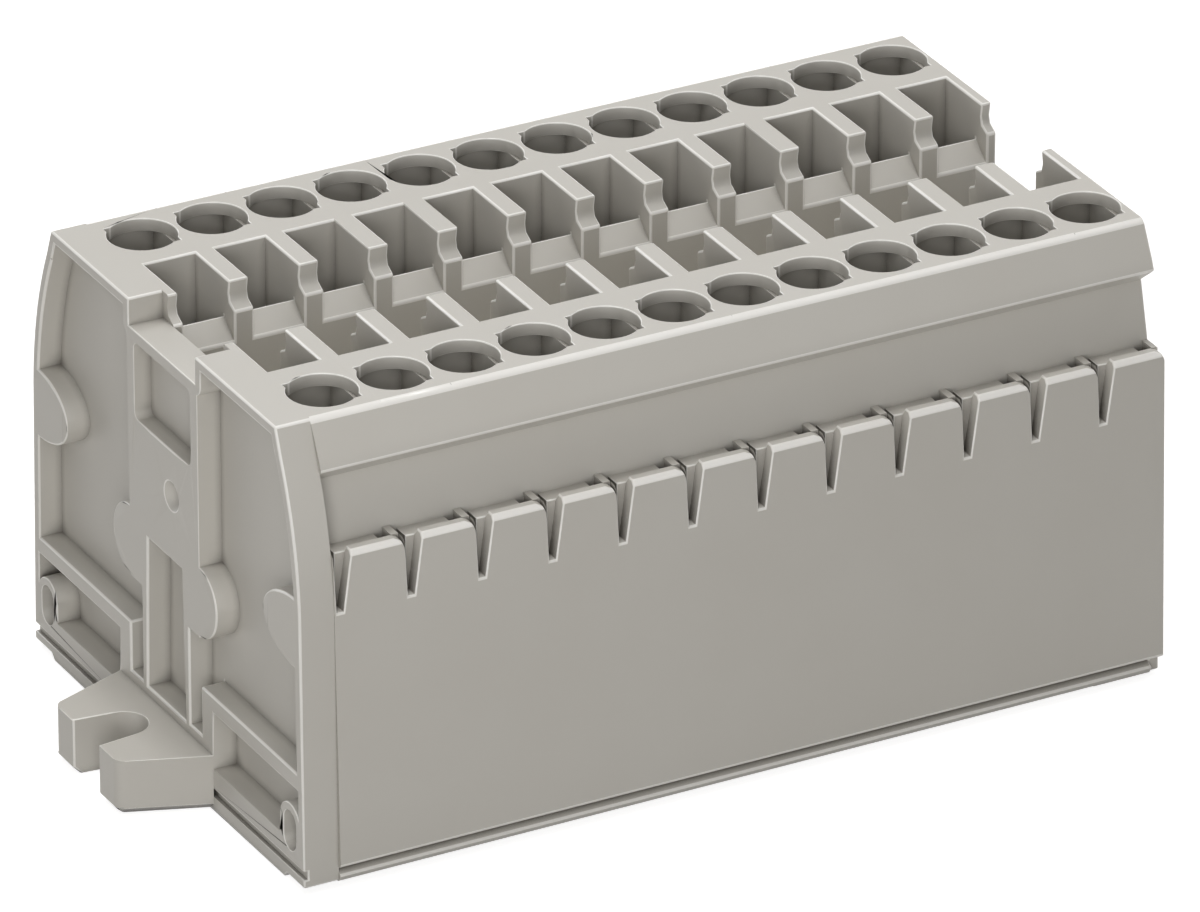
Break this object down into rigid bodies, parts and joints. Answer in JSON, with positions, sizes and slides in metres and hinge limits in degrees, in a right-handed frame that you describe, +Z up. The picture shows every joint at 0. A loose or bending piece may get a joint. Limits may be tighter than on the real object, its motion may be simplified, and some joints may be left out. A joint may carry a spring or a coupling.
{
  "type": "terminal block",
  "caption": "Spring-clamp terminal strip of moulded slices with an end plate, wire entries, driver slots, a central channel and fixing flanges.",
  "frame": {"origin": "on the mounting plane, under the middle of the strip's length and width, flanges included", "axes": "+X along the strip from the end plate to the last pole, +Y from front to rear, +Z up to the wire entries"},
  "size_m": [0.074, 0.0388, 0.0314],
  "materials": {
    "housing": "satin moulded polyamide",
    "current_bar": "tinned copper",
    "clamp_spring": "rolled spring steel"
  },
  "bodies": {
    "root": {"end_plate": "housing", "housing_01": "housing", "current_bar_01": "current_bar", "clamp_spring_front_01": "clamp_spring", "clamp_spring_rear_01": "clamp_spring", "housing_02": "housing", "current_bar_02": "current_bar", "clamp_spring_front_02": "clamp_spring", "clamp_spring_rear_02": "clamp_spring", "housing_03": "housing", "current_bar_03": "current_bar", "clamp_spring_front_03": "clamp_spring", "clamp_spring_rear_03": "clamp_spring", "housing_04": "housing", "current_bar_04": "current_bar", "clamp_spring_front_04": "clamp_spring", "clamp_spring_rear_04": "clamp_spring", "housing_05": "housing", "current_bar_05": "current_bar", "clamp_spring_front_05": "clamp_spring", "clamp_spring_rear_05": "clamp_spring", "housing_06": "housing", "current_bar_06": "current_bar", "clamp_spring_front_06": "clamp_spring", "clamp_spring_rear_06": "clamp_spring", "housing_07": "housing", "current_bar_07": "current_bar", "clamp_spring_front_07": "clamp_spring", "clamp_spring_rear_07": "clamp_spring", "housing_08": "housing", "current_bar_08": "current_bar", "clamp_spring_front_08": "clamp_spring", "clamp_spring_rear_08": "clamp_spring", "housing_09": "housing", "current_bar_09": "current_bar", "clamp_spring_front_09": "clamp_spring", "clamp_spring_rear_09": "clamp_spring", "housing_10": "housing", "current_bar_10": "current_bar", "clamp_spring_front_10": "clamp_spring", "clamp_spring_rear_10": "clamp_spring", "housing_11": "housing", "current_bar_11": "current_bar", "clamp_spring_front_11": "clamp_spring", "clamp_spring_rear_11": "clamp_spring", "housing_12": "housing", "current_bar_12": "current_bar", "clamp_spring_front_12": "clamp_spring", "clamp_spring_rear_12": "clamp_spring"}
  },
  "joints": []
}
